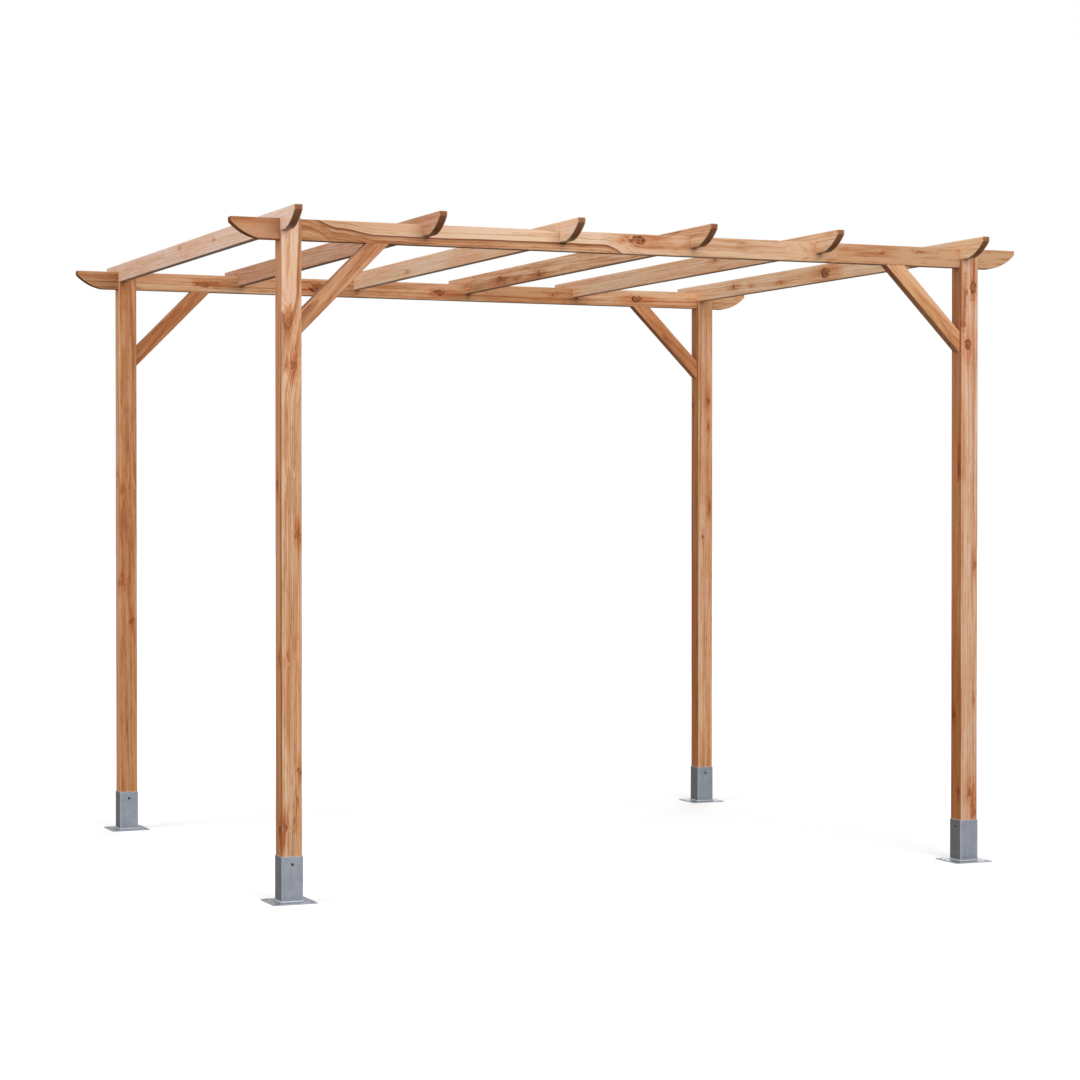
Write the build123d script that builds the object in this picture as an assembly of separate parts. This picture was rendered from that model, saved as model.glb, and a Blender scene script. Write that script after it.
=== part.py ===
from build123d import *
import os

# Garden pergola of planed timber on steel post shoes, all sizes in millimetres.
# X runs along the two beams, Y from front to back, Z up from the ground.

# Overall layout
post_spacing_x = 2600.0      # between post centres along a beam
post_spacing_y = 2150.0      # between the two beams, centre to centre
beam_top_height = 2250.0     # top of the beams above the ground
beam_overhang = 165.0        # beam tail beyond the outer face of a post
rafter_overhang = 155.0      # rafter tail beyond the outer face of a beam

# Timber sections
post_width = 70.0
post_edge_radius = 4.0
beam_height = 70.0
beam_thickness = 40.0
rafter_height = 70.0
rafter_thickness = 28.0
edge_radius = 3.0            # rounded arrises of beams, rafters and braces

# Rafters
rafter_count = 6
wide_bay_extra = 100.0       # the bay beside the right-hand posts is this much wider
lap_depth = 40.0             # how far a rafter sits down into a beam
lap_share = 0.5              # part of the lap that is cut out of the beam
joint_clearance = 0.25       # play on each side of a notch or slot

# Shaped tails of beams and rafters
tail_nose = 16.0             # upright face left at the top of the tail
tail_length = 103.0          # from the tip back to where the underside is flat
tail_bulge = 9.5             # rise of the curve above its chord

# Knee braces
brace_width = 55.0           # across the grain, in the plane of the beam
brace_reach = 310.0          # from the corner to the far end of each seat

# Post shoes
sleeve_height = 150.0
sleeve_wall = 2.0
sleeve_play = 0.5            # between a post and the sleeve, each side
sleeve_corner_radius = 5.0
plate_size = 150.0
plate_thickness = 4.0
plate_corner_radius = 3.0
anchor_hole_spacing = 120.0
anchor_hole_radius = 5.5
screw_hole_radius = 3.5
screw_hole_drop = 26.0       # below the top rim of the sleeve

# Sizes worked out from those above
beam_length = post_spacing_x + post_width + 2 * beam_overhang
rafter_length = post_spacing_y + beam_thickness + 2 * rafter_overhang
beam_underside = beam_top_height - beam_height
rafter_underside = beam_top_height - lap_depth
beam_notch_depth = lap_depth * lap_share
rafter_notch_depth = lap_depth - beam_notch_depth
sleeve_inside = post_width + 2 * sleeve_play
sleeve_outside = sleeve_inside + 2 * sleeve_wall
rafter_pitch = (post_spacing_x - wide_bay_extra) / (rafter_count - 1)
first_rafter_x = -post_spacing_x / 2 - post_width / 2 + rafter_thickness / 2
last_rafter_x = first_rafter_x + post_spacing_x
rafter_places = [first_rafter_x + number * rafter_pitch for number in range(rafter_count - 1)]
rafter_places.append(last_rafter_x)

corners = {
    "front_left": (-1, -1),
    "front_right": (1, -1),
    "back_left": (-1, 1),
    "back_right": (1, 1),
}
sides = {"front": -1, "back": 1}


def shaped_bar(length, height, thickness):
    """Planed bar along X with both tails sawn to a curve, its top at Z = 0."""
    tip = length / 2
    root = tip - tail_length
    middle = Vector((tip + root) / 2, -(tail_nose + height) / 2)
    chord = Vector(tail_length, height - tail_nose)
    across = Vector(chord.Y, -chord.X).normalized()
    crown = middle + across * tail_bulge
    with BuildPart() as bar:
        with BuildSketch(Plane.YZ):
            with Locations((0, -height / 2)):
                RectangleRounded(thickness, height, edge_radius)
        extrude(amount=tip, both=True)
        with BuildSketch(Plane.XZ):
            with BuildLine():
                ThreePointArc((tip, -tail_nose), (crown.X, crown.Y), (root, -height))
                Polyline(
                    (root, -height), (root, -2 * height), (2 * tip, -2 * height), (2 * tip, -tail_nose),
                    (tip, -tail_nose),
                )
            offcut = make_face()
            mirror(offcut, about=Plane.YZ)
        extrude(amount=thickness, both=True, mode=Mode.SUBTRACT)
    return bar.part


def cut_box(size_x, size_y, size_z, centre):
    """Block used to cut a slot or notch."""
    return Pos(*centre) * Box(size_x, size_y, size_z)


def make_post(x, y):
    """Square post with an open slot for the beam and a notch for the end rafter."""
    foot = plate_thickness
    height = beam_top_height - foot
    post = Pos(x, y, foot) * Box(post_width, post_width, height, align=(Align.CENTER, Align.CENTER, Align.MIN))
    post = fillet(post.edges().filter_by(Axis.Z), radius=post_edge_radius)
    slot_width = beam_thickness + 2 * joint_clearance
    post -= cut_box(2 * post_width, slot_width, 2 * beam_height, (x, y, beam_top_height))
    rafter_x = min(rafter_places, key=lambda place: abs(place - x))
    notch_width = rafter_thickness + 2 * joint_clearance
    post -= cut_box(notch_width, 2 * post_width, 2 * lap_depth, (rafter_x, y, beam_top_height))
    return post


def make_beam(y):
    """Beam with one notch in its top for each rafter."""
    beam = Pos(0, y, beam_top_height) * shaped_bar(beam_length, beam_height, beam_thickness)
    notch_width = rafter_thickness + 2 * joint_clearance
    for place in rafter_places:
        beam -= cut_box(notch_width, 2 * beam_thickness, 2 * beam_notch_depth, (place, y, beam_top_height))
    return beam


def make_rafter(x):
    """Rafter with one notch in its underside over each beam."""
    top = rafter_underside + rafter_height
    bar = Rot(0, 0, 90) * shaped_bar(rafter_length, rafter_height, rafter_thickness)
    rafter = Pos(x, 0, top) * bar
    notch_width = beam_thickness + 2 * joint_clearance
    for side in sides.values():
        centre = (x, side * post_spacing_y / 2, rafter_underside)
        rafter -= cut_box(2 * rafter_thickness, notch_width, 2 * rafter_notch_depth, centre)
    return rafter


def make_brace(x_side, y):
    """Knee brace at 45 degrees between the inner face of a post and the beam."""
    seat = brace_width * 2 ** 0.5
    with BuildPart() as brace:
        with BuildSketch(Plane.XZ):
            Polygon(
                (0, -brace_reach), (brace_reach, 0), (brace_reach - seat, 0), (0, seat - brace_reach),
                align=None,
            )
        extrude(amount=beam_thickness / 2, both=True)
        long_edges = brace.edges().filter_by(Axis((0, 0, 0), (1, 0, 1)))
        fillet(long_edges, radius=edge_radius)
    solid = brace.part
    if x_side > 0:
        solid = mirror(solid, about=Plane.YZ)
    corner_x = x_side * (post_spacing_x / 2 - post_width / 2)
    return Pos(corner_x, y, beam_underside) * solid


def make_sleeve(x, y, turned):
    """Square tube that holds the foot of a post, with a screw hole in two opposite sides."""
    with BuildPart() as sleeve:
        with BuildSketch():
            RectangleRounded(sleeve_outside, sleeve_outside, sleeve_corner_radius)
            RectangleRounded(
                sleeve_inside, sleeve_inside, sleeve_corner_radius - sleeve_wall, mode=Mode.SUBTRACT
            )
        extrude(amount=sleeve_height)
        with Locations(Location((0, 0, sleeve_height - screw_hole_drop), (90, 0, 0))):
            Cylinder(screw_hole_radius, 2 * sleeve_outside, mode=Mode.SUBTRACT)
    turn = 90 if turned else 0
    return Pos(x, y, plate_thickness) * Rot(0, 0, turn) * sleeve.part


def make_plate(x, y):
    """Flat steel foot of a shoe with four anchor holes."""
    with BuildPart() as plate:
        with BuildSketch():
            RectangleRounded(plate_size, plate_size, plate_corner_radius)
            with GridLocations(anchor_hole_spacing, anchor_hole_spacing, 2, 2):
                Circle(anchor_hole_radius, mode=Mode.SUBTRACT)
        extrude(amount=plate_thickness)
    return Pos(x, y, 0) * plate.part


pieces = {}
for corner, (x_side, y_side) in corners.items():
    post_x = x_side * post_spacing_x / 2
    post_y = y_side * post_spacing_y / 2
    pieces["post_" + corner] = make_post(post_x, post_y)
    pieces["brace_" + corner] = make_brace(x_side, post_y)
    pieces["shoe_sleeve_" + corner] = make_sleeve(post_x, post_y, corner == "front_right")
    pieces["shoe_plate_" + corner] = make_plate(post_x, post_y)
for side, y_side in sides.items():
    pieces["beam_" + side] = make_beam(y_side * post_spacing_y / 2)
for number, place in enumerate(rafter_places, start=1):
    pieces["rafter_" + str(number)] = make_rafter(place)

os.makedirs("parts", exist_ok=True)
for name, shape in pieces.items():
    export_step(shape, "parts/" + name + ".step")
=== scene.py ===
import math

import bmesh
import bpy
from mathutils import Euler, Matrix, Vector, noise


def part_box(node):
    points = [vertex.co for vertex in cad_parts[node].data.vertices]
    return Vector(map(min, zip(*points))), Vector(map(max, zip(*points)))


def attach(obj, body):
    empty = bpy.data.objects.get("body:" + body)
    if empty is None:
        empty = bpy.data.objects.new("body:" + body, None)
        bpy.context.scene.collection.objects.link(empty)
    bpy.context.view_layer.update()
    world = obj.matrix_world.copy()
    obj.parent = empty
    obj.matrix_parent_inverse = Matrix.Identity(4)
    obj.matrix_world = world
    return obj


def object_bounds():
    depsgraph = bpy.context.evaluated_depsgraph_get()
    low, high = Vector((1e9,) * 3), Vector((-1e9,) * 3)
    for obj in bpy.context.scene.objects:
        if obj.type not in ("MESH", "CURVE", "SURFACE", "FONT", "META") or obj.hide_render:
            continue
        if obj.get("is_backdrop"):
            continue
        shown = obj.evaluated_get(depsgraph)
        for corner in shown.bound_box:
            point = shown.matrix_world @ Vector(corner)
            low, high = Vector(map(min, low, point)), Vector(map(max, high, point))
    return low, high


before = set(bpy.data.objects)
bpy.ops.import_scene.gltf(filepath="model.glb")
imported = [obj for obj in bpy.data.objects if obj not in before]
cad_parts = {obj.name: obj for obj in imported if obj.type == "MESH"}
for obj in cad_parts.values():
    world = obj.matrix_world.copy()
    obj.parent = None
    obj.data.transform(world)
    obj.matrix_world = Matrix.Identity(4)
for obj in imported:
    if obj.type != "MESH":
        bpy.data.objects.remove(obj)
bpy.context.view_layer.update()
scene = bpy.context.scene


# Posts
# Four square lengths of planed softwood, stained a warm reddish tan, stand in steel shoes.
# Each is sawn from the side of a log, so long arches and stripes of grain run up its faces.

def put(tree, kind, *values, **settings):
    """Adds a shader node, fills its sockets in order and returns its first output."""
    node = tree.nodes.new("ShaderNode" + kind)
    for name, setting in settings.items():
        setattr(node, name, setting)
    sockets = [socket for socket in node.inputs if socket.enabled]
    for socket, value in zip(sockets, values):
        if isinstance(value, bpy.types.NodeSocket):
            tree.links.new(value, socket)
        else:
            socket.default_value = value
    return node.outputs[0]


def calc(tree, operation, *values, clamp=False):
    """Adds one sum, product or other step with numbers."""
    return put(tree, "Math", *values, operation=operation, use_clamp=clamp)


def vector(tree, operation, *values):
    """Adds one step with vectors. A length or a dot product comes out as a number."""
    output = put(tree, "VectorMath", *values, operation=operation)
    return output.node.outputs["Value"] if operation in ("LENGTH", "DOT_PRODUCT") else output


def tint(tree, share, first, second, mode="MIX"):
    """Goes from the first colour to the second, or to their product, as the share rises."""
    node = tree.nodes.new("ShaderNodeMix")
    node.data_type = "RGBA"
    node.blend_type = mode
    for socket, value in ((node.inputs[0], share), (node.inputs[6], first), (node.inputs[7], second)):
        if isinstance(value, bpy.types.NodeSocket):
            tree.links.new(value, socket)
        else:
            socket.default_value = value
    return node.outputs[2]


def ramp(tree, value, low, high, smooth=True):
    """Rises from 0 to 1 as the value goes from low to high."""
    node = tree.nodes.new("ShaderNodeMapRange")
    node.interpolation_type = "SMOOTHSTEP" if smooth else "LINEAR"
    tree.links.new(value, node.inputs["Value"])
    node.inputs["From Min"].default_value = low
    node.inputs["From Max"].default_value = high
    return node.outputs["Result"]


def fade(tree, value, low, high):
    """Falls from 1 to 0 as the value goes from low to high."""
    return calc(tree, "SUBTRACT", 1.0, ramp(tree, value, low, high))


def patches(tree, place, closeness, seed, detail):
    """Soft patches of noise. The closeness says how many there are to a metre each way."""
    drawn = vector(tree, "MULTIPLY", place, closeness)
    return put(tree, "TexNoise", drawn, seed, 1.0, detail, noise_dimensions="4D")


def sway(tree, patchwork, reach):
    """Turns patches of noise into a push to either side, with a reach for each way."""
    middled = vector(tree, "SUBTRACT", patchwork.node.outputs["Color"], (0.5, 0.5, 0.5))
    return vector(tree, "MULTIPLY", middled, reach)


def effect(name, takes, gives):
    """Starts a shader node group and returns it with its inlets and its outlets."""
    group = bpy.data.node_groups.new(name, "ShaderNodeTree")
    kinds = {float: "NodeSocketFloat", tuple: "NodeSocketVector", list: "NodeSocketColor"}
    for label, start in takes.items():
        socket = group.interface.new_socket(label, in_out="INPUT", socket_type=kinds[type(start)])
        socket.default_value = start
    for label, kind in gives.items():
        group.interface.new_socket(label, in_out="OUTPUT", socket_type=kinds[kind])
    inlet = group.nodes.new("NodeGroupInput")
    outlet = group.nodes.new("NodeGroupOutput")
    return group, inlet.outputs, outlet.inputs


def place_group(tree, group, **values):
    """Puts a node group into a material, with values or links by socket name."""
    node = tree.nodes.new("ShaderNodeGroup")
    node.node_tree = group
    for label, value in values.items():
        socket = node.inputs[label.replace("_", " ")]
        if isinstance(value, bpy.types.NodeSocket):
            tree.links.new(value, socket)
        else:
            socket.default_value = value
    return node.outputs


def new_finish(name):
    """Starts a material and returns it with its node tree and its shader."""
    material = bpy.data.materials.new(name)
    material.use_nodes = True
    return material, material.node_tree, material.node_tree.nodes["Principled BSDF"]


def dress(tree, shader, colour, finish, strength, distance):
    """Feeds a colour, and the sheen and relief of a finish, into the shader."""
    tree.links.new(colour, shader.inputs["Base Color"])
    tree.links.new(finish["Roughness"], shader.inputs["Roughness"])
    bump = tree.nodes.new("ShaderNodeBump")
    bump.inputs["Strength"].default_value = strength
    bump.inputs["Distance"].default_value = distance
    tree.links.new(finish["Height"], bump.inputs["Height"])
    tree.links.new(bump.outputs["Normal"], shader.inputs["Normal"])


def cover(node, material):
    """Gives a CAD piece its one material."""
    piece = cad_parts[node]
    piece.data.materials.clear()
    piece.data.materials.append(material)


# Distance from the heart of the log, which wanders and leans along the piece
growth, g_in, g_out = effect(
    "growth of the log",
    {
        "Place": (0.0, 0.0, 0.0), "Heart": (0.0, 0.0, 0.0), "Lean": (0.0, 0.0, 0.0), "Wander": 0.006,
        "Seed": 0.0,
    },
    {"Radius": float},
)
g_wander = sway(growth, patches(growth, g_in["Place"], (1.3, 5.0, 5.0), g_in["Seed"], 1.5), g_in["Wander"])
g_quiver = patches(growth, g_in["Place"], (5.5, 17.0, 17.0), g_in["Seed"], 2.0)
g_wander = vector(growth, "ADD", g_wander, sway(growth, g_quiver, (0.0, 0.0042, 0.0042)))
g_lean = vector(growth, "SCALE", g_in["Lean"], put(growth, "SeparateXYZ", g_in["Place"]))
g_from = vector(growth, "SUBTRACT", g_in["Place"], g_in["Heart"])
g_from = vector(growth, "SUBTRACT", g_from, g_lean)
g_from = vector(growth, "ADD", g_from, g_wander)
g_across = vector(growth, "MULTIPLY", g_from, (0.0, 1.0, 1.0))
growth.links.new(vector(growth, "LENGTH", g_across), g_out["Radius"])

# A branch: the trunk's rings flow past it, a dark rim closes it and the wood round it is redder
knot, k_in, k_out = effect(
    "knot",
    {
        "Place": (0.0, 0.0, 0.0), "Centre": (0.0, 0.0, 0.0), "Branch": (0.0, 1.0, 0.0), "Size": 0.008,
        "Depth": 0.1, "Dark": 1.0, "Radius": 0.1, "Heartwood": 0.0, "Bark": 0.0, "Halo": 0.0,
    },
    {"Radius": float, "Heartwood": float, "Bark": float, "Halo": float},
)
k_noise = put(knot, "TexNoise", k_in["Place"], 55.0, 2.0)
k_from = vector(knot, "SUBTRACT", k_in["Place"], k_in["Centre"])
k_from = vector(knot, "ADD", k_from, sway(knot, k_noise, (0.034, 0.018, 0.018)))
k_deep = vector(knot, "DOT_PRODUCT", k_from, k_in["Branch"])
k_lost = fade(knot, k_deep, -0.055, -0.035)
far_away = 30.0


def from_branch(shortening):
    """How far a point lies from the branch in its own sizes. Deeper than it starts, that is far away."""
    short = vector(knot, "MULTIPLY", k_from, (shortening, 1.0, 1.0))
    reach = vector(knot, "LENGTH", vector(knot, "CROSS_PRODUCT", short, k_in["Branch"]))
    return calc(knot, "MULTIPLY_ADD", k_lost, far_away, calc(knot, "DIVIDE", reach, k_in["Size"]))


k_near = from_branch(0.62)
k_age = calc(knot, "MULTIPLY", calc(knot, "POWER", k_near, 0.6), k_in["Depth"])
knot.links.new(calc(knot, "SMOOTH_MIN", k_in["Radius"], k_age, 0.045), k_out["Radius"])
k_brown = calc(knot, "MULTIPLY_ADD", k_in["Dark"], 0.58, 0.30)
k_brown = calc(knot, "MULTIPLY", fade(knot, k_near, 0.82, 1.12), k_brown)
knot.links.new(calc(knot, "MAXIMUM", k_brown, k_in["Heartwood"]), k_out["Heartwood"])
k_rim = calc(knot, "ABSOLUTE", calc(knot, "SUBTRACT", k_near, 0.98))
k_rim = calc(knot, "MULTIPLY", fade(knot, k_rim, 0.08, 0.40), ramp(knot, k_noise, 0.35, 0.56))
k_pith = calc(knot, "MULTIPLY", fade(knot, k_near, 0.05, 0.5), 0.75)
k_rim = calc(knot, "MULTIPLY", calc(knot, "MAXIMUM", k_rim, k_pith), k_in["Dark"])
knot.links.new(calc(knot, "MAXIMUM", k_rim, k_in["Bark"]), k_out["Bark"])
k_halo = fade(knot, from_branch(0.24), 0.8, 2.8)
knot.links.new(calc(knot, "MAXIMUM", k_halo, k_in["Halo"]), k_out["Halo"])

# Colour, sheen and relief of stained softwood, from the growth of its log
wood, w_in, w_out = effect(
    "stained softwood",
    {
        "Place": (0.0, 0.0, 0.0), "Facing": (0.0, 1.0, 0.0), "Half size": (1.0, 0.035, 0.035),
        "Radius": 0.1, "Heartwood": 0.0, "Bark": 0.0, "Halo": 0.0, "Pale": [0.66, 0.36, 0.20, 1.0],
        "Dark": [0.40, 0.17, 0.075, 1.0], "Side": [1.0, 1.0, 1.0, 1.0], "Ring": 0.008, "Bands": 0.5,
        "Core": 0.0, "Line": 0.9, "Tail": 9.0, "Seed": 0.0,
    },
    {"Color": list, "Roughness": float, "Height": float},
)
w_place = w_in["Place"]
w_seed = w_in["Seed"]
w_along, w_across, w_up = put(wood, "SeparateXYZ", w_place).node.outputs

# A year's ring darkens slowly to its late wood and ends at once
w_count = calc(wood, "ADD", calc(wood, "DIVIDE", w_in["Radius"], w_in["Ring"]), w_seed)
w_phase = calc(wood, "FRACT", w_count)
w_random = put(wood, "TexWhiteNoise", calc(wood, "FLOOR", w_count), noise_dimensions="1D")
w_late = calc(wood, "MULTIPLY", ramp(wood, w_phase, 0.20, 0.92), fade(wood, w_phase, 0.92, 1.0))
w_late = calc(wood, "MULTIPLY", w_late, calc(wood, "MULTIPLY_ADD", w_random, 0.8, 0.2))

# Soft bands of several years, darker or lighter together
w_drift = calc(wood, "MULTIPLY_ADD", w_along, 0.35, w_seed)
w_band_place = put(wood, "CombineXYZ", calc(wood, "MULTIPLY", w_count, 0.42), w_drift, 0.0)
w_band = ramp(wood, put(wood, "TexNoise", w_band_place, 1.0, 2.0, noise_dimensions="2D"), 0.33, 0.68)
w_band = calc(wood, "MULTIPLY", w_band, w_in["Bands"])

# Fibres: long streaks that follow the rings, with dashes and flecks among them
w_over = calc(wood, "SUBTRACT", w_across, w_up)
w_fibre_place = put(wood, "CombineXYZ", w_along, w_in["Radius"], w_over)
w_fibre = patches(wood, w_fibre_place, (4.0, 190.0, 70.0), w_seed, 3.0)
w_streak = ramp(wood, w_fibre, 0.40, 0.61)
w_wide = ramp(wood, patches(wood, w_fibre_place, (1.7, 80.0, 26.0), w_seed, 2.0), 0.41, 0.60)
w_dash = ramp(wood, patches(wood, w_place, (9.0, 120.0, 120.0), w_seed, 1.0), 0.62, 0.72)
w_fleck = ramp(wood, patches(wood, w_place, (24.0, 165.0, 165.0), w_seed, 2.0), 0.48, 0.70)

# Blotches where the stain took more or less
w_blotch = ramp(wood, patches(wood, w_place, (4.5, 20.0, 20.0), w_seed, 3.0), 0.32, 0.70)

# Wood near the heart of the log is paler, and ends in one dark ring
w_edge_in = calc(wood, "SUBTRACT", w_in["Core"], w_in["Radius"])
w_core = ramp(wood, w_edge_in, -0.0006, 0.0006)
w_line = ramp(wood, w_edge_in, -0.0105, -0.0006)
w_line = calc(wood, "MULTIPLY", w_line, calc(wood, "SUBTRACT", 1.0, w_core))
w_outer = calc(wood, "SUBTRACT", calc(wood, "GREATER_THAN", w_in["Core"], 0.01), w_core)
w_outer = calc(wood, "MAXIMUM", w_outer, 0.0)

# Together they say where the wood lies between its pale colour and its dark one
w_share = calc(wood, "MULTIPLY", w_late, 0.52)
for w_mask, w_weight in (
    (w_band, 0.62), (w_streak, 0.36), (w_wide, 0.20), (w_fleck, 0.26), (w_dash, 0.30), (w_blotch, 0.16),
    (w_core, -0.36), (w_outer, 0.30),
):
    w_share = calc(wood, "MULTIPLY_ADD", w_mask, w_weight, w_share)
w_share = calc(wood, "SUBTRACT", w_share, 0.325, clamp=True)
w_middle = tint(wood, 0.5, w_in["Pale"], w_in["Dark"])
w_middle = tint(wood, 1.0, w_middle, (1.05, 0.95, 0.80, 1.0), "MULTIPLY")
w_colour = tint(wood, ramp(wood, w_share, 0.0, 0.5, smooth=False), w_in["Pale"], w_middle)
w_colour = tint(wood, ramp(wood, w_share, 0.5, 1.0, smooth=False), w_colour, w_in["Dark"])

# The hue wanders between olive and pink from streak to streak, and the dark ring lies over it
olive = (0.99, 1.0, 0.95, 1.0)
pink = (1.01, 0.98, 1.0, 1.0)
ring_brown = (0.20, 0.058, 0.018, 1.0)
w_hue = ramp(wood, patches(wood, w_fibre_place, (1.5, 110.0, 30.0), w_seed, 2.0), 0.36, 0.64)
w_colour = tint(wood, 1.0, w_colour, tint(wood, w_hue, olive, pink), "MULTIPLY")
w_colour = tint(wood, calc(wood, "MULTIPLY", w_line, w_in["Line"]), w_colour, ring_brown)

# Redder patches, the reddest round the knots, and the knots themselves with their rims of bark
ruddy_shade = (0.97, 0.83, 0.74, 1.0)
halo_shade = (0.79, 0.49, 0.31, 1.0)
knot_tan = (0.42, 0.125, 0.036, 1.0)
knot_brown = (0.21, 0.052, 0.014, 1.0)
bark_brown = (0.115, 0.024, 0.007, 1.0)
w_ruddy = ramp(wood, patches(wood, w_place, (2.2, 13.0, 13.0), w_seed, 1.0), 0.42, 0.68)
w_colour = tint(wood, calc(wood, "MULTIPLY", w_ruddy, 0.75), w_colour, ruddy_shade, "MULTIPLY")
w_halo = calc(wood, "MULTIPLY", w_in["Halo"], calc(wood, "MULTIPLY_ADD", w_streak, 0.5, 0.5))
w_colour = tint(wood, w_halo, w_colour, halo_shade, "MULTIPLY")
w_knot = tint(wood, calc(wood, "MULTIPLY", w_late, 0.9), knot_tan, knot_brown)
w_colour = tint(wood, calc(wood, "MULTIPLY", w_in["Heartwood"], 0.92), w_colour, w_knot)
w_colour = tint(wood, calc(wood, "MULTIPLY", w_in["Bark"], 0.92), w_colour, bark_brown)

# Painted shade on the face on local Z, and less of it on the opposite face
w_facing = put(wood, "SeparateXYZ", w_in["Facing"])
w_face_z = w_facing.node.outputs["Z"]
w_painted_opposite = calc(wood, "MULTIPLY", ramp(wood, w_face_z, -0.45, -0.85), 0.4)
w_painted_side = calc(wood, "MAXIMUM", ramp(wood, w_face_z, 0.45, 0.85), w_painted_opposite)
w_colour = tint(wood, w_painted_side, w_colour, w_in["Side"], "MULTIPLY")

# End grain drinks the stain and turns a dark red brown
w_cut = ramp(wood, calc(wood, "ABSOLUTE", w_facing), 0.10, 0.42)
w_pores = put(wood, "TexNoise", w_place, 420.0, 2.0)
w_ends = calc(wood, "MULTIPLY", ramp(wood, w_pores, 0.35, 0.7), 0.5)
w_ends = calc(wood, "MULTIPLY_ADD", w_late, 0.5, w_ends)
w_drunk = tint(wood, w_ends, (0.34, 0.125, 0.048, 1.0), (0.15, 0.045, 0.017, 1.0))
w_colour = tint(wood, calc(wood, "MULTIPLY", w_cut, 0.92), w_colour, w_drunk)

# Straight arrises, where the stain is thin and a highlight is painted: the second nearest of a timber's
# faces is near there
w_inset = vector(wood, "SUBTRACT", w_in["Half size"], vector(wood, "ABSOLUTE", w_place))
w_end, w_flank, w_lip = put(wood, "SeparateXYZ", w_inset).node.outputs
w_least = calc(wood, "MINIMUM", w_end, w_flank)
w_most = calc(wood, "MINIMUM", calc(wood, "MAXIMUM", w_end, w_flank), w_lip)
w_edge = calc(wood, "MAXIMUM", w_least, w_most)

# Arrises along a tail's underside, an arc from its square nose down to the timber's flat underside
tail_length = 0.103
tail_nose = 0.016
tail_depth = 0.070
tail_bulge = 0.0095
tail_drop = tail_depth - tail_nose
tail_chord = math.hypot(tail_length, tail_drop)
arc_radius = (tail_chord ** 2 / 4 + tail_bulge ** 2) / (2 * tail_bulge)
arc_in = tail_length / 2 + (arc_radius - tail_bulge) * tail_drop / tail_chord
arc_up = -tail_nose / 2 + (arc_radius - tail_bulge) * tail_length / tail_chord
w_turn_x = calc(wood, "SUBTRACT", w_in["Tail"], arc_in)
w_turn_x = calc(wood, "SUBTRACT", calc(wood, "ABSOLUTE", w_along), w_turn_x)
w_turn_x = calc(wood, "MAXIMUM", w_turn_x, 0.0)
w_turn_z = calc(wood, "SUBTRACT", arc_up, w_up)
w_sweep = vector(wood, "LENGTH", put(wood, "CombineXYZ", w_turn_x, w_turn_z, 0.0))
w_sweep = calc(wood, "ABSOLUTE", calc(wood, "SUBTRACT", w_sweep, arc_radius))
w_sweep = calc(wood, "ADD", w_sweep, calc(wood, "LESS_THAN", w_turn_x, arc_in - tail_length))
w_sweep = calc(wood, "MAXIMUM", w_sweep, w_flank)

# Both kinds are ragged along the fibres, and show a pale wood: worn stain and a painted highlight together
w_ragged = calc(wood, "MULTIPLY", w_fibre, 0.003)
w_edge = fade(wood, calc(wood, "ADD", w_edge, w_ragged), 0.0022, 0.0052)
w_sweep = fade(wood, calc(wood, "ADD", w_sweep, w_ragged), 0.0022, 0.0058)
w_arris_wear_and_highlight = calc(wood, "MAXIMUM", calc(wood, "MULTIPLY", w_edge, 0.30), calc(wood, "MULTIPLY", w_sweep, 0.62))
w_pale_arris = tint(wood, 0.62, w_in["Pale"], (0.76, 0.54, 0.34, 1.0))
wood.links.new(tint(wood, w_arris_wear_and_highlight, w_colour, w_pale_arris), w_out["Color"])

# Late wood and knots shine more, end grain less. Rings and fibres stand out and bark sinks in
w_rough = calc(wood, "MULTIPLY_ADD", w_late, -0.10, 0.62)
w_rough = calc(wood, "MULTIPLY_ADD", w_in["Heartwood"], -0.12, w_rough)
w_rough = calc(wood, "MULTIPLY_ADD", w_cut, 0.2, w_rough)
wood.links.new(w_rough, w_out["Roughness"])
w_relief = calc(wood, "MULTIPLY_ADD", w_late, 0.6, calc(wood, "MULTIPLY", w_fibre, 0.5))
w_relief = calc(wood, "MULTIPLY_ADD", w_in["Bark"], -0.6, w_relief)
w_relief = calc(wood, "MULTIPLY_ADD", calc(wood, "MULTIPLY", w_pores, w_cut), 0.8, w_relief)
wood.links.new(w_relief, w_out["Height"])

# A knot of this size or more is fully dark
full_dark_knot = 0.011


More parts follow.
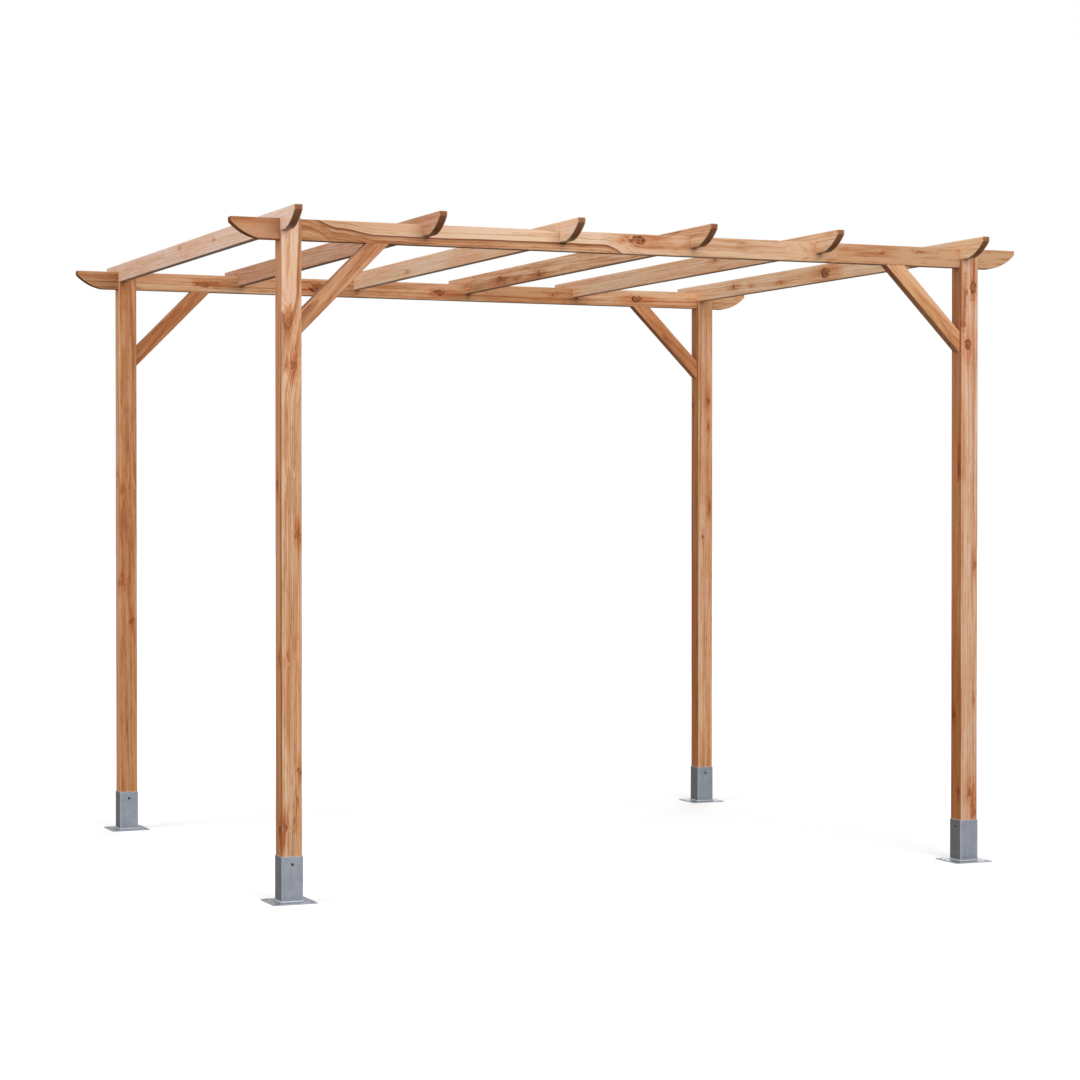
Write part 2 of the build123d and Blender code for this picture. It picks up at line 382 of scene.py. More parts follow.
def finish_timber(
    node, turn, heart, lean, seed, pale, dark, side=(1.0, 1.0, 1.0), ring=0.008, wander=0.006, bands=0.5,
    core=0.0, line=0.9, bends=(), tail=9.0, knots=(), tones=(), side_shading=(), centre=None, half=None,
):
    """Gives a CAD timber the finish of its own log. The grain runs along local X after the turn.

    heart is where the log's heart lies beside the timber, lean its drift per metre along it, and core
    how far the paler wood round the heart reaches. Side is a painted shade on the face on local Z, a
    post's left face, and less of it on the opposite face.
    A bend is the start and end of a stretch, and how far the heart shifts along it.
    A knot is its place, the angle of its branch in degrees, its size and, if not 0.25, the branch's slope.
    A tone is the start and end of a fade and the shade after it. Side shading is such tones of painted
    light and shade, on the face on local Z alone.
    tail is how far a curved tail reaches from the timber's middle. Without one, it is far past the end.
    centre and half, its middle and half size, are given for a timber that lies askew in its box.
    """
    low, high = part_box(node)
    angles = [math.radians(angle) for angle in turn]
    axes = Euler(angles).to_matrix().inverted()
    if centre is None:
        centre = (low + high) / 2
        half = [abs(part) for part in axes @ ((high - low) / 2)]
    material, tree, shader = new_finish("timber_" + node)
    coordinates = tree.nodes.new("ShaderNodeTexCoord")
    place = put(tree, "Mapping", coordinates.outputs["Object"], centre, angles, vector_type="TEXTURE")
    facing = put(tree, "Mapping", coordinates.outputs["Normal"], (0, 0, 0), angles, vector_type="TEXTURE")
    along = put(tree, "SeparateXYZ", place)
    bent = place
    for start, end, shift in bends:
        push = vector(tree, "SCALE", shift, ramp(tree, along, start, end))
        bent = vector(tree, "SUBTRACT", bent, push)
    state = place_group(tree, growth, Place=bent, Heart=heart, Lean=lean, Wander=wander, Seed=seed)
    marks = {"Radius": state["Radius"]}
    for off_x, off_y, off_z, angle, size, *slope in knots:
        tilt = math.radians(angle)
        branch = Vector((0.0, math.cos(tilt), math.sin(tilt)))
        if branch.dot((0.0, off_y, off_z)) < 0:
            branch.negate()
        branch.x = slope[0] if slope else 0.25
        branch.normalize()
        middle = Vector(heart) + Vector(lean) * off_x
        for start, end, shift in bends:
            share = min(1.0, max(0.0, (off_x - start) / (end - start)))
            middle += Vector(shift) * (share * share * (3 - 2 * share))
        depth = math.hypot(off_y - middle.y, off_z - middle.z)
        darkness = min(1.0, (size / full_dark_knot) ** 1.4)
        out = place_group(
            tree, knot, Place=place, Centre=(off_x, off_y, off_z), Branch=branch, Size=size, Depth=depth,
            Dark=darkness, **marks,
        )
        marks = {label: out[label] for label in ("Radius", "Heartwood", "Bark", "Halo")}
    out = place_group(
        tree, wood, Place=place, Facing=facing, Half_size=half, Pale=(*pale, 1.0), Dark=(*dark, 1.0),
        Side=(*side, 1.0), Ring=ring, Bands=bands, Core=core, Line=line, Tail=tail, Seed=seed, **marks,
    )
    colour = out["Color"]
    for start, end, shade in tones:
        colour = tint(tree, ramp(tree, along, start, end), colour, (*shade, 1.0), "MULTIPLY")
    # Side shading: painted light and shade along the face on local Z
    turned = ramp(tree, put(tree, "SeparateXYZ", facing).node.outputs["Z"], 0.45, 0.85)
    for start, end, shade in side_shading:
        share = calc(tree, "MULTIPLY", ramp(tree, along, start, end), turned)
        colour = tint(tree, share, colour, (*shade, 1.0), "MULTIPLY")
    dress(tree, shader, colour, out, strength=0.45, distance=0.0006)
    shader.inputs["Specular IOR Level"].default_value = 0.10
    cover(node, material)


upright = (0, -90, 0)
low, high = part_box("post_front_left")
post_face = (high.y - low.y) / 2
finish_timber(
    "post_front_left", upright, heart=(0, 0.018, 0.062), lean=(0, 0.002, 0.004), seed=1.3,
    pale=(0.87, 0.62, 0.45), dark=(0.52, 0.25, 0.122), side=(0.66, 0.46, 0.33), ring=0.0055, bands=0.35,
    core=0.047, line=0.4,
    bends=(
        (0.50, 0.80, (0, 0, -0.050)), (0.74, 0.90, (0, -0.022, 0)), (0.90, 1.10, (0, -0.003, -0.004)),
    ),
    side_shading=((-0.1, -0.5, (0.91, 0.88, 0.70)),),
    knots=(
        (0.788, -post_face, 0.013, 4, 0.007), (0.645, -post_face, 0.0165, 8, 0.004),
        (0.642, -post_face, -0.0065, -4, 0.008), (0.085, -post_face, -0.018, -10, 0.007),
        (-0.312, -post_face, 0.0165, 4, 0.004), (-0.322, -0.010, post_face, 80, 0.006),
        (-0.692, -post_face, -0.026, -15, 0.007), (-0.882, -post_face, 0.027, 16, 0.008),
        (-0.855, -post_face, -0.011, 0, 0.004, 2.0), (-0.79, -post_face, -0.016, 0, 0.0035, 2.0),
        (0.25, 0.01, post_face, 90, 0.008), (-0.30, post_face, 0.01, 10, 0.010),
        (0.55, post_face, -0.012, -6, 0.008), (0.10, -0.008, -post_face, 88, 0.009),
    ),
)
finish_timber(
    "post_front_right", upright, heart=(0, 0.050, -0.085), lean=(0, 0.005, 0.006), seed=4.1,
    pale=(0.79, 0.52, 0.365), dark=(0.49, 0.225, 0.118), side=(0.78, 0.60, 0.42), wander=0.008, bands=0.4,
    tones=((0.1, 0.5, (1.02, 1.09, 1.16)),),
    side_shading=((-0.1, -0.5, (0.77, 0.62, 0.45)), (0.1, 0.5, (0.97, 0.87, 0.81))),
    knots=(
        (0.984, -post_face, -0.014, -12, 0.010, 1.0), (0.948, -post_face, 0.0215, 14, 0.006, 2.0),
        (0.900, -post_face, 0.024, 14, 0.005, 3.0), (0.855, -post_face, 0.025, 18, 0.0055, 2.5),
        (0.772, -post_face, 0.009, 5, 0.010), (0.313, -0.018, post_face, 76, 0.008, 1.5),
        (-0.035, -post_face, -0.0205, -8, 0.006), (-0.531, -post_face, -0.018, 0, 0.004),
        (-0.587, 0.012, post_face, 88, 0.007), (-0.870, -post_face, -0.0025, 0, 0.007),
        (-0.935, -post_face, -0.0187, -6, 0.0065, 2.0), (-0.87, -0.018, post_face, 80, 0.006),
        (0.40, post_face, -0.010, -4, 0.010), (-0.45, 0.010, -post_face, 90, 0.009),
    ),
)
finish_timber(
    "post_back_left", upright, heart=(0, 0.060, 0.022), lean=(0, 0.012, -0.008), seed=7.7,
    pale=(0.74, 0.40, 0.215), dark=(0.385, 0.143, 0.053), side=(1.05, 1.08, 1.10), ring=0.006,
    wander=0.013, bands=0.6,
    tones=((-0.2, -0.5, (0.90, 0.84, 0.74)), (0.2, 0.5, (0.95, 0.92, 0.91))),
    side_shading=((-0.2, -0.5, (1.10, 1.12, 1.18)), (0.2, 0.5, (1.10, 1.26, 1.46))),
    knots=(
        (-0.125, -post_face, 0.028, 12, 0.006), (-0.28, -post_face, -0.0135, -8, 0.007),
        (0.31, 0.0, post_face, 84, 0.007), (0.12, post_face, 0.010, 6, 0.010),
        (-0.62, -0.004, -post_face, 92, 0.009),
    ),
)
finish_timber(
    "post_back_right", upright, heart=(0, 0.030, 0.065), lean=(0, -0.004, -0.006), seed=9.4,
    pale=(0.91, 0.57, 0.355), dark=(0.54, 0.235, 0.11), side=(0.62, 0.46, 0.34), ring=0.007, wander=0.010,
    side_shading=((-0.1, -0.5, (0.88, 0.79, 0.68)), (0.1, 0.5, (1.10, 1.18, 1.18))),
    knots=(
        (0.645, -post_face, -0.0135, -8, 0.007), (0.529, -post_face, -0.0145, -8, 0.005),
        (0.174, -post_face, -0.017, 0, 0.006), (0.045, -post_face, 0.0125, 6, 0.006),
        (0.625, 0.015, post_face, 84, 0.006), (-0.35, post_face, -0.014, -10, 0.010),
        (0.22, 0.004, -post_face, 90, 0.009),
    ),
)


# Beams
# Two long planed timbers lie on edge in the open slots of the post tops, with curved tails.
# Their faces are sawn flat from the log, so long sweeping arches of grain show on them.

level = (0, 0, 0)
low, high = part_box("beam_front")
beam_face = (high.y - low.y) / 2
beam_end = (high.x - low.x) / 2

# A knot on the back face starts behind it, so that its branch ends before the front face
behind_beam = beam_face + 0.016
finish_timber(
    "beam_front", level, heart=(0, 0.045, 0.024), lean=(0, 0, 0), seed=2.2,
    pale=(0.76, 0.51, 0.335), dark=(0.37, 0.135, 0.048), side=(0.9, 0.82, 0.75), ring=0.0075,
    wander=0.008, core=0.10,
    bends=(
        (-1.335, -1.27, (0, 0, 0.100)), (-1.25, -1.13, (0, 0, -0.037)), (-1.13, -1.00, (0, 0, -0.018)),
        (-0.17, 0.00, (0, 0, -0.070)),
    ),
    tail=beam_end,
    tones=(
        (-1.27, -1.335, (0.83, 0.69, 0.62)), (-0.95, -1.10, (0.94, 0.87, 0.80)),
        (-0.95, -0.80, (1.13, 1.21, 1.31)), (-0.15, 0.05, (0.88, 0.83, 0.76)),
        (0.55, 0.90, (0.84, 0.74, 0.66)),
    ),
    knots=(
        (-0.038, -beam_face, 0.014, 4, 0.0145), (0.937, -beam_face, 0.004, -6, 0.005),
        (1.10, -beam_face, 0.016, 0, 0.004, 2.0), (0.52, behind_beam, -0.012, 8, 0.009),
        (-0.83, behind_beam, 0.010, -6, 0.010),
    ),
)
# The rear beam's first tone darkens its left tail, a painted shade under the first rafter
finish_timber(
    "beam_back", level, heart=(0, 0.075, 0.045), lean=(0, 0.010, -0.018), seed=5.9,
    pale=(0.82, 0.53, 0.335), dark=(0.45, 0.19, 0.08), side=(0.9, 0.82, 0.75), wander=0.009,
    tail=beam_end,
    tones=(
        (-1.28, -1.33, (0.72, 0.60, 0.52)), (0.17, 0.30, (0.83, 0.70, 0.58)),
        (0.66, 0.78, (1.32, 1.62, 1.95)),
    ),
    knots=(
        (-0.984, -beam_face, -0.004, 10, 0.008, 1.2), (-0.496, -beam_face, -0.002, -8, 0.015),
        (0.051, -beam_face, -0.004, 5, 0.010, 1.0), (0.572, -beam_face, 0.002, 0, 0.004),
        (0.972, -beam_face, -0.002, 12, 0.012), (0.30, behind_beam, 0.012, 8, 0.010),
    ),
)


# Rafters
# Six thinner timbers lie across both beams, half lapped over them, with the same curved tails.
# They are paler than the posts, partly painted light for the strong light on their left faces,
# with fainter stripes and a few dark knots.

crossways = (0, 0, 90)
low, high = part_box("rafter_1")
rafter_face = (high.x - low.x) / 2
rafter_end = (high.y - low.y) / 2

# The pale and dark colours, partly painted light, the strength of the bands and the knots of each board
rafter_woods = {
    1: (
        (0.85, 0.64, 0.54), (0.60, 0.38, 0.27), 0.3,
        ((0.138, rafter_face, 0.016, 14, 0.004), (-0.316, rafter_face, 0.006, 0, 0.004)),
    ),
    2: ((0.73, 0.45, 0.31), (0.45, 0.22, 0.125), 0.35, ((-0.52, rafter_face, 0.010, 6, 0.006),)),
    3: ((0.99, 0.74, 0.55), (0.77, 0.46, 0.29), 0.3, ((0.41, rafter_face, -0.012, 6, 0.005),)),
    4: (
        (0.94, 0.61, 0.395), (0.50, 0.215, 0.10), 0.65,
        (
            (0.254, rafter_face, -0.014, 8, 0.010), (0.676, rafter_face, -0.006, -10, 0.012),
            (0.486, rafter_face, -0.016, 0, 0.006),
        ),
    ),
    5: ((0.98, 0.68, 0.475), (0.68, 0.365, 0.21), 0.35, ((-0.3, rafter_face, 0.012, 6, 0.007),)),
    6: (
        (1.0, 0.75, 0.53), (0.74, 0.41, 0.23), 0.38,
        (
            (-0.097, rafter_face, -0.002, 10, 0.018), (0.702, rafter_face, 0.002, 0, 0.009),
            (0.541, rafter_face, -0.003, 5, 0.005), (0.285, rafter_face, -0.010, -8, 0.006),
        ),
    ),
}

# Every second board is turned over, so the log's heart lies above one and below the next
for number, (pale, dark, bands, knots) in rafter_woods.items():
    lift = 0.075 if number % 2 else -0.06
    finish_timber(
        "rafter_%d" % number, crossways, heart=(0, -0.06, lift), lean=(0, 0.008, 0.014),
        seed=11.0 + 3.7 * number, pale=pale, dark=dark, side=(0.84, 0.74, 0.66), ring=0.007, bands=bands,
        tail=rafter_end, knots=knots,
    )


# Knee braces
# Short lengths of the beam timber, cut at 45 degrees at both ends, stiffen each post and beam.
# They took more stain than the rest, so their streaks are a darker red.

brace_width = 0.055
inward = brace_width / 2 / math.sqrt(2)
brace_tones = {
    "front_left": ((0.70, 0.39, 0.23), (0.35, 0.128, 0.052)),
    "front_right": ((0.79, 0.465, 0.262), (0.39, 0.152, 0.058)),
    "back_left": ((0.68, 0.345, 0.17), (0.36, 0.125, 0.043)),
    "back_right": ((0.84, 0.44, 0.235), (0.45, 0.158, 0.059)),
}
for number, (corner, (pale, dark)) in enumerate(brace_tones.items()):
    low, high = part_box("brace_" + corner)
    left = corner.endswith("left")
    middle = (low + high) / 2 + Vector((-inward if left else inward, 0, inward))
    reach = ((high.x - low.x) / math.sqrt(2), (high.y - low.y) / 2, brace_width / 2)
    finish_timber(
        "brace_" + corner, (0, -45, 0) if left else (0, -135, 0), heart=(0, 0.07, 0.012),
        lean=(0, 0.015, 0.02), seed=40.0 + 5.3 * number, pale=pale, dark=dark, side=(0.85, 0.78, 0.72),
        ring=0.006, bands=0.6, centre=middle, half=reach,
    )


# Post shoes
# Square tubes welded to square foot plates, cut from sheet steel and dipped in molten zinc.
# The zinc has dried in faint crystals and runs; a bead of weld rings each tube's foot, with a painted
# highlight.

sleeve_low, sleeve_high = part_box("shoe_sleeve_front_left")
plate_low, plate_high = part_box("shoe_plate_front_left")
sleeve_half = (sleeve_high.x - sleeve_low.x) / 2
sleeve_foot = sleeve_low.z
sleeve_top = sleeve_high.z
plate_half = (plate_high.x - plate_low.x) / 2

# An anchor hole's middle lies this far from the shoe's middle each way, in a patch of painted shade
# of this radius
hole_spot = 0.060
hole_shadow = 0.0078

# The shoes stand at plus and minus this place
shoe_spot = (-(sleeve_low.x + sleeve_high.x) / 2, -(sleeve_low.y + sleeve_high.y) / 2, 0.0)

zinc, z_in, z_out = effect(
    "zinc coating",
    {"Place": (0.0, 0.0, 0.0), "Facing": (0.0, 0.0, 1.0), "Lift": 0.0},
    {"Color": list, "Roughness": float, "Height": float},
)

# Crystals with bent outlines, runs down the tube and soft clouds
z_warp = put(zinc, "TexNoise", z_in["Place"], 60.0, 2.0).node.outputs["Color"]
z_warp = vector(zinc, "MULTIPLY", z_warp, (0.012, 0.012, 0.012))
z_warp = vector(zinc, "ADD", z_in["Place"], z_warp)
z_cells = put(zinc, "TexVoronoi", z_warp, 150.0, distance="CHEBYCHEV").node.outputs["Color"]
z_crystal = put(zinc, "SeparateXYZ", z_cells)
z_run_place = vector(zinc, "MULTIPLY", z_in["Place"], (55.0, 55.0, 4.0))
z_run = ramp(zinc, put(zinc, "TexNoise", z_run_place, 1.0, 3.0), 0.3, 0.7)
z_cloud = ramp(zinc, put(zinc, "TexNoise", z_in["Place"], 22.0, 2.0), 0.3, 0.7)
z_share = calc(zinc, "MULTIPLY_ADD", z_crystal, 0.34, calc(zinc, "MULTIPLY", z_run, 0.30))
z_share = calc(zinc, "MULTIPLY_ADD", z_cloud, 0.35, z_share)
z_colour = tint(zinc, z_share, (0.31, 0.34, 0.40, 1.0), (0.435, 0.46, 0.52, 1.0))

# Painted shade: left faces are darker
z_facing = put(zinc, "SeparateXYZ", z_in["Facing"])
z_colour = tint(zinc, ramp(zinc, z_facing, -0.6, -0.95), z_colour, (0.50, 0.45, 0.42, 1.0), "MULTIPLY")

# The place beside the nearest shoe's middle
z_local = vector(zinc, "SUBTRACT", vector(zinc, "ABSOLUTE", z_in["Place"]), shoe_spot)
z_x, z_y, z_z = put(zinc, "SeparateXYZ", vector(zinc, "ABSOLUTE", z_local)).node.outputs
z_near = calc(zinc, "MAXIMUM", z_x, z_y)

# Painted highlights on the edges: the tube's corners and top, and the rim of the plate
z_corner = ramp(zinc, calc(zinc, "MINIMUM", z_x, z_y), sleeve_half - 0.005, sleeve_half - 0.001)
z_corner = calc(zinc, "MULTIPLY", z_corner, ramp(zinc, z_z, sleeve_foot + 0.0005, sleeve_foot + 0.004))
z_corner = calc(zinc, "MULTIPLY", z_corner, calc(zinc, "LESS_THAN", z_near, sleeve_half + 0.0015))
z_top = ramp(zinc, z_z, sleeve_top - 0.0025, sleeve_top - 0.0005)
z_highlight = calc(zinc, "MAXIMUM", z_top, calc(zinc, "MULTIPLY", z_corner, 0.5))
z_plate_edge = ramp(zinc, z_near, plate_half - 0.0015, plate_half - 0.0002)
z_highlight = calc(zinc, "MAXIMUM", z_highlight, calc(zinc, "MULTIPLY", z_plate_edge, 0.7))
z_highlight = calc(zinc, "MAXIMUM", z_highlight, z_in["Lift"])

# The plate's top is darker, with painted shade round the tube and up the tube's foot, in their crease
z_flat = ramp(zinc, z_facing.node.outputs["Z"], 0.7, 0.95)
z_flat = calc(zinc, "MULTIPLY", z_flat, ramp(zinc, z_z, 0.012, 0.008))
z_darkening = calc(zinc, "MULTIPLY", z_cloud, 0.30)
z_darkening = calc(zinc, "MULTIPLY_ADD", ramp(zinc, z_near, 0.058, 0.040), 0.35, z_darkening)
z_darkening = calc(zinc, "MULTIPLY", z_flat, calc(zinc, "ADD", z_darkening, 0.30))
z_foot = calc(zinc, "MULTIPLY", ramp(zinc, z_z, 0.034, 0.008), calc(zinc, "SUBTRACT", 1.0, z_flat))
z_darkening = calc(zinc, "MULTIPLY_ADD", z_foot, 0.30, z_darkening)
z_colour = tint(zinc, z_darkening, z_colour, (0.30, 0.31, 0.33, 1.0), "MULTIPLY")
z_colour = tint(zinc, calc(zinc, "MULTIPLY", z_highlight, 0.75), z_colour, (0.68, 0.71, 0.75, 1.0))

# Painted shade in and round the anchor holes
z_from_hole = vector(zinc, "SUBTRACT", put(zinc, "CombineXYZ", z_x, z_y, 0.0), (hole_spot, hole_spot, 0.0))
z_hole_shade = calc(zinc, "LESS_THAN", vector(zinc, "LENGTH", z_from_hole), hole_shadow)
z_colour = tint(zinc, z_hole_shade, z_colour, (0.03, 0.03, 0.032, 1.0))
zinc.links.new(z_colour, z_out["Color"])
zinc.links.new(calc(zinc, "MULTIPLY_ADD", z_crystal, 0.16, 0.40), z_out["Roughness"])
z_height = calc(zinc, "MULTIPLY_ADD", z_crystal, 0.25, calc(zinc, "MULTIPLY", z_run, 0.6))
zinc.links.new(z_height, z_out["Height"])


# The lift is a painted highlight over the whole finish
def galvanise(name, lift):
    """Makes the zinc finish, brighter where the lift is more."""
    material, tree, shader = new_finish(name)
    coordinates = tree.nodes.new("ShaderNodeTexCoord")
    out = place_group(
        tree, zinc, Place=coordinates.outputs["Object"], Facing=coordinates.outputs["Normal"], Lift=lift,
    )
    dress(tree, shader, out["Color"], out, strength=0.3, distance=0.0005)
    shader.inputs["Metallic"].default_value = 0.35
    return material


def new_piece(name, mesh, finish):
    """Turns a bmesh into a finished piece of the pergola."""
    data = bpy.data.meshes.new(name)
    mesh.to_mesh(data)
    mesh.free()
    piece = bpy.data.objects.new(name, data)
    scene.collection.objects.link(piece)
    data.materials.append(finish)
    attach(piece, "root")


def draw_out(mesh, loop, step, count):
    """Draws a loop of edges out into a tube, in as many steps as the count, and returns its end."""
    for _ in range(count):
        grown = bmesh.ops.extrude_edge_only(mesh, edges=loop)["geom"]
        moved = [part for part in grown if isinstance(part, bmesh.types.BMVert)]
        loop = [part for part in grown if isinstance(part, bmesh.types.BMEdge)]
        bmesh.ops.translate(mesh, verts=moved, vec=step)
    return loop


corners = {"front_left": (-1, -1), "front_right": (1, -1), "back_left": (-1, 1), "back_right": (1, 1)}
steel = galvanise("galvanised_steel", 0.0)
# The weld's zinc carries a painted highlight all over
weld_metal = galvanise("weld_metal", 0.8)
bead_radius = 0.0032
bead_steps = 14
bead_seat = 0.001
bead_bend = 0.005
flat = sleeve_half - bead_bend
for corner, (x_side, y_side) in corners.items():
    cover("shoe_sleeve_" + corner, steel)
    cover("shoe_plate_" + corner, steel)

    # A quarter of the bead: half of one side, the rounded corner and half of the next side
    weld = bmesh.new()
    start = Matrix.Translation((0, -sleeve_half - bead_seat, sleeve_foot + bead_seat))
    upright_ring = start @ Matrix.Rotation(math.radians(90), 4, "Y")
    bmesh.ops.create_circle(weld, cap_ends=False, segments=8, radius=bead_radius, matrix=upright_ring)
    loop = draw_out(weld, list(weld.edges), (flat / bead_steps, 0, 0), bead_steps)
    bmesh.ops.spin(
        weld, geom=loop, cent=(flat, -flat, 0), axis=(0, 0, 1), angle=math.radians(90), steps=5,
    )
    far_end = [vert for vert in weld.verts if abs(vert.co.y + flat) < 1e-5]
    loop = [edge for edge in weld.edges if all(vert in far_end for vert in edge.verts)]
    draw_out(weld, loop, (0, flat / bead_steps, 0), bead_steps)

    # The four quarters close the ring, and ripples roughen it, at each shoe in another way
    quarter = list(weld.verts) + list(weld.edges) + list(weld.faces)
    bmesh.ops.spin(
        weld, geom=quarter, cent=(0, 0, 0), axis=(0, 0, 1), angle=math.radians(360), steps=4,
        use_duplicate=True,
    )
    bmesh.ops.remove_doubles(weld, verts=weld.verts, dist=0.0002)
    bmesh.ops.recalc_face_normals(weld, faces=weld.faces)
    weld.normal_update()
    for vert in weld.verts:
        spot = vert.co + Vector((x_side, y_side, 0)) * 3.0
        fine_ripple = noise.noise(spot * 420.0) * 0.0007
        long_ripple = noise.noise(spot * 120.0) * 0.0009
        vert.co += vert.normal * (fine_ripple + long_ripple)
    low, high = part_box("shoe_sleeve_" + corner)
    shoe = (low + high) / 2
    bmesh.ops.translate(weld, verts=weld.verts, vec=(shoe.x, shoe.y, 0))
    for face in weld.faces:
        face.smooth = True
    new_piece("weld_" + corner, weld, weld_metal)


# Screws
# Dark zinc coach screws hold the posts in their shoes, one through each hole in a sleeve's walls.
# Smaller ones, sunk almost flush, go through the rafters, the braces and the rear cheek of each post.

dark_zinc, d_tree, d_shader = new_finish("screw_steel")
d_place = put(d_tree, "TexCoord").node.outputs["Object"]
d_noise = ramp(d_tree, put(d_tree, "TexNoise", d_place, 900.0, 2.0), 0.35, 0.7)
d_colour = tint(d_tree, d_noise, (0.045, 0.043, 0.045, 1.0), (0.11, 0.10, 0.10, 1.0))
d_tree.links.new(d_colour, d_shader.inputs["Base Color"])
d_tree.links.new(calc(d_tree, "MULTIPLY_ADD", d_noise, 0.25, 0.35), d_shader.inputs["Roughness"])
d_shader.inputs["Metallic"].default_value = 0.7


def screw(name, place, outward, radius, height):
    """A round screw head with a six-sided socket. It sits on its place and faces outward."""
    rounding = height * 0.55
    rim_width = radius * 0.28
    socket_reach = radius * 0.42
    socket_depth = height * 0.7
    head = bmesh.new()
    bmesh.ops.create_circle(head, cap_ends=True, segments=24, radius=radius)
    grown = bmesh.ops.extrude_face_region(head, geom=head.faces[:])["geom"]
    raised = [part for part in grown if isinstance(part, bmesh.types.BMVert)]
    bmesh.ops.translate(head, verts=raised, vec=(0, 0, height))
    top = [face for face in head.faces if face.calc_center_median().z > height * 0.9][0]
    bmesh.ops.bevel(
        head, geom=list(top.edges), offset=rounding, segments=3, profile=0.5, affect="EDGES", material=-1,
    )
    top = max(head.faces, key=lambda face: (round(face.calc_center_median().z, 6), face.calc_area()))
    bmesh.ops.inset_region(head, faces=[top], thickness=rim_width, use_even_offset=True)
    for vert in top.verts:
        turn = math.atan2(vert.co.y, vert.co.x)
        from_flat = (turn % math.radians(60)) - math.radians(30)
        reach = socket_reach / math.cos(from_flat)
        vert.co.x = reach * math.cos(turn)
        vert.co.y = reach * math.sin(turn)
    grown = bmesh.ops.extrude_face_region(head, geom=[top])["geom"]
    socket = [part for part in grown if isinstance(part, bmesh.types.BMVert)]
    bmesh.ops.translate(head, verts=socket, vec=(0, 0, -socket_depth))
    bmesh.ops.recalc_face_normals(head, faces=head.faces)
    pose = Matrix.Translation(place) @ Vector(outward).to_track_quat("Z", "Y").to_matrix().to_4x4()
    bmesh.ops.transform(head, matrix=pose, verts=head.verts)
    new_piece(name, head, dark_zinc)


coach_radius = 0.0048
coach_height = 0.0026
coach_sunk = 0.0006
coach_drop = 0.026
small_radius = 0.004
small_height = 0.0016
small_sunk = 0.0012
for corner in corners:
    low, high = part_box("shoe_sleeve_" + corner)
    shoe = (low + high) / 2
    for count, facing in enumerate((1, -1), start=1):
        outward = (facing, 0, 0) if corner == "front_right" else (0, facing, 0)
        seat = Vector((shoe.x, shoe.y, high.z - coach_drop)) + Vector(outward) * (sleeve_half - coach_sunk)
        screw("shoe_screw_%s_%d" % (corner, count), seat, outward, coach_radius, coach_height)
for number in rafter_woods:
    low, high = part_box("rafter_%d" % number)
    for side, y in (("front", -shoe_spot[1]), ("back", shoe_spot[1])):
        place = ((low.x + high.x) / 2, y, high.z - small_sunk)
        screw("rafter_screw_%d_%s" % (number, side), place, (0, 0, 1), small_radius, small_height)

# Two screws go up through each brace, near its foot and near its head
brace_screw_spots = (0.045, 0.393)
beam_screw_drop = 0.045
for corner, (x_side, _) in corners.items():
    low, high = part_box("brace_" + corner)
    slope = Vector((-x_side, 0, -1)).normalized()
    climb = Vector((-x_side, 0, 1)).normalized()
    foot = Vector((high.x if x_side > 0 else low.x, (low.y + high.y) / 2, low.z))
    for count, along in enumerate(brace_screw_spots, start=1):
        place = foot + climb * along - slope * small_sunk
        screw("brace_screw_%s_%d" % (corner, count), place, slope, small_radius, small_height)
    low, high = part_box("post_" + corner)
    place = ((low.x + high.x) / 2, high.y - small_sunk, high.z - beam_screw_drop)
    screw("beam_screw_" + corner, place, (0, 1, 0), small_radius, small_height)


# Studio
# A pale level floor and a white surround that the camera sees, with three soft lamps round the
# pergola. The camera stands in front of it and to its left, lower than the beams.

floor_mesh = bmesh.new()
bmesh.ops.create_grid(floor_mesh, x_segments=1, y_segments=1, size=60.0)
floor_data = bpy.data.meshes.new("studio_floor")
floor_mesh.to_mesh(floor_data)
floor_mesh.free()
floor = bpy.data.objects.new("studio_floor", floor_data)
scene.collection.objects.link(floor)
floor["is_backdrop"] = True

# The floor glows a little for the camera, more so far away, and is dark under the foot plates:
# painted shade, seen through the anchor holes
floor_finish, f_tree, f_shader = new_finish("studio_floor")
f_seen = f_tree.nodes.new("ShaderNodeLightPath").outputs["Is Camera Ray"]
f_place = put(f_tree, "TexCoord").node.outputs["Object"]
f_local = vector(f_tree, "SUBTRACT", vector(f_tree, "ABSOLUTE", f_place), shoe_spot)
f_x, f_y, f_z = put(f_tree, "SeparateXYZ", vector(f_tree, "ABSOLUTE", f_local)).node.outputs
f_open = calc(f_tree, "GREATER_THAN", calc(f_tree, "MAXIMUM", f_x, f_y), plate_half - 0.002)
f_far = vector(f_tree, "LENGTH", f_place)
f_glow = calc(f_tree, "MULTIPLY_ADD", ramp(f_tree, f_far, 1.2, 4.0), 0.30, 0.32)
f_glow = calc(f_tree, "MULTIPLY_ADD", ramp(f_tree, f_far, 5.0, 20.0), 0.10, f_glow)
f_glow = calc(f_tree, "MULTIPLY", calc(f_tree, "MULTIPLY", f_glow, f_open), f_seen)
f_colour = tint(f_tree, f_seen, (0.15, 0.15, 0.15, 1.0), (0.8, 0.8, 0.8, 1.0))
f_colour = tint(f_tree, f_open, (0.05, 0.05, 0.05, 1.0), f_colour)
f_tree.links.new(f_colour, f_shader.inputs["Base Color"])
f_tree.links.new(f_glow, f_shader.inputs["Emission Strength"])
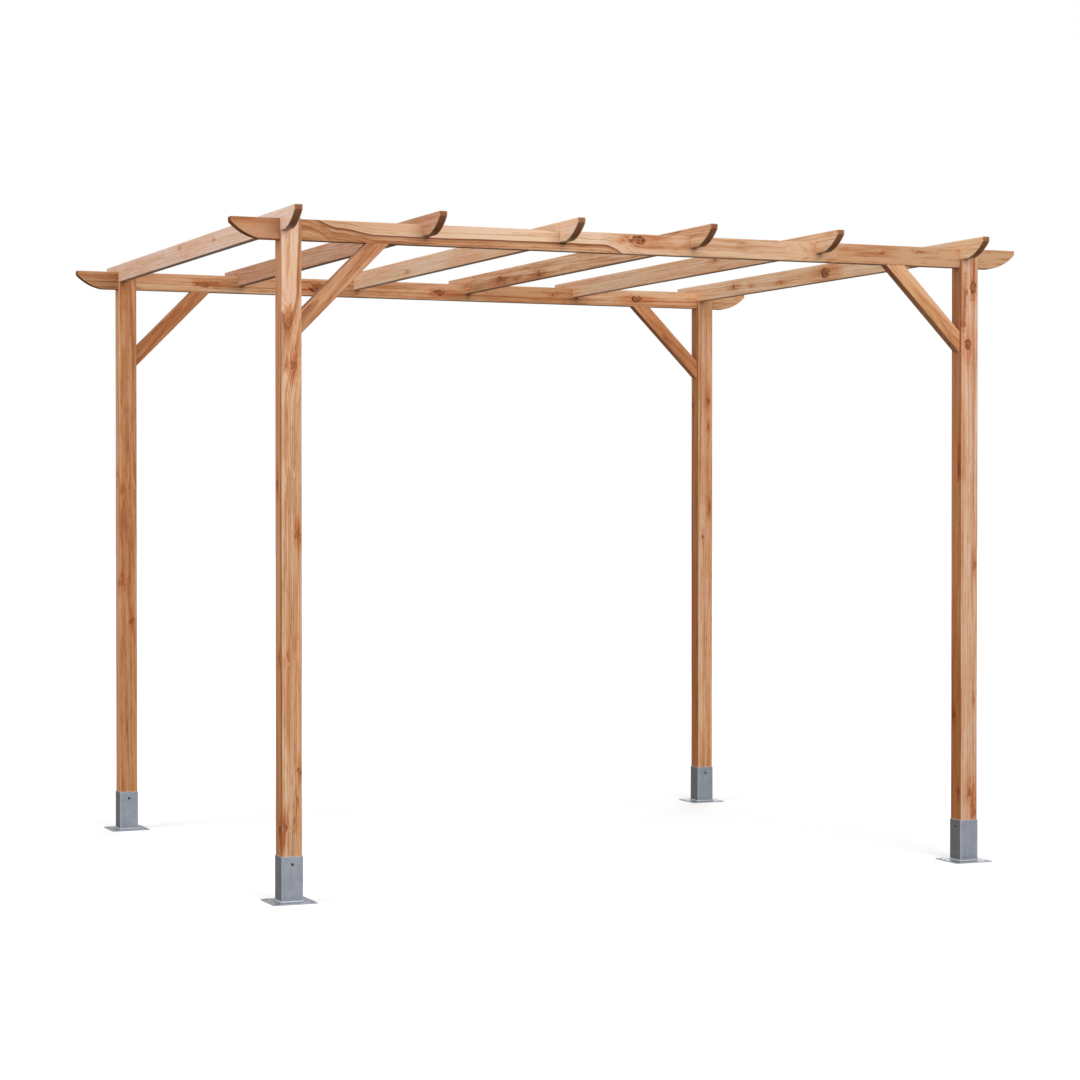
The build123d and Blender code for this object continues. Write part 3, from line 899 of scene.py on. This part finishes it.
f_shader.inputs["Emission Color"].default_value = (1.0, 1.0, 1.0, 1.0)
f_shader.inputs["Roughness"].default_value = 1.0
f_shader.inputs["Specular IOR Level"].default_value = 0.0
floor_data.materials.append(floor_finish)

# The surround is full white to the camera and in reflections, and a softer light on the wood
world = bpy.data.worlds.new("surround")
scene.world = world
world.use_nodes = True
b_tree = world.node_tree
b_light = b_tree.nodes["Background"]
b_path = b_tree.nodes.new("ShaderNodeLightPath")
b_seen = calc(b_tree, "MAXIMUM", b_path.outputs["Is Camera Ray"], b_path.outputs["Is Transmission Ray"])
b_seen = calc(b_tree, "MAXIMUM", b_seen, b_path.outputs["Is Glossy Ray"])
b_light.inputs["Color"].default_value = (1.0, 1.0, 1.0, 1.0)
b_tree.links.new(calc(b_tree, "MULTIPLY_ADD", b_seen, 0.45, 0.55), b_light.inputs["Strength"])


def lamp(name, place, aim, size, power):
    """A square soft box that faces its aim."""
    data = bpy.data.lights.new(name, "AREA")
    data.shape = "SQUARE"
    data.size = size
    data.energy = power
    item = bpy.data.objects.new(name, data)
    item.location = place
    item.rotation_euler = (Vector(aim) - Vector(place)).to_track_quat("-Z", "Y").to_euler()
    scene.collection.objects.link(item)


lamp("front_lamp", (0.5, -8.5, 4.4), (0, 0, 1.3), 4.0, 380)
lamp("left_lamp", (-7.5, -1.5, 3.4), (0, 0, 1.4), 4.0, 220)
lamp("back_lamp", (6.0, 8.0, 4.6), (0, 0, 1.3), 4.0, 220)

# The focal length in pixels and the picture's width give the lens for a 36 mm sensor
focal_pixels = 2633.5
picture_pixels = 1080
sensor_width = 36
camera_down = math.radians(0.70)
camera_right = math.radians(23.15)
camera_data = bpy.data.cameras.new("camera")
camera_data.lens = focal_pixels / picture_pixels * sensor_width
camera_data.clip_end = 300.0
camera = bpy.data.objects.new("camera", camera_data)
camera.location = (-3.949, -9.377, 1.300)
camera.rotation_euler = (math.radians(90) - camera_down, 0.0, -camera_right)
scene.collection.objects.link(camera)
scene.camera = camera
scene.view_settings.view_transform = "Standard"

low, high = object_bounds()
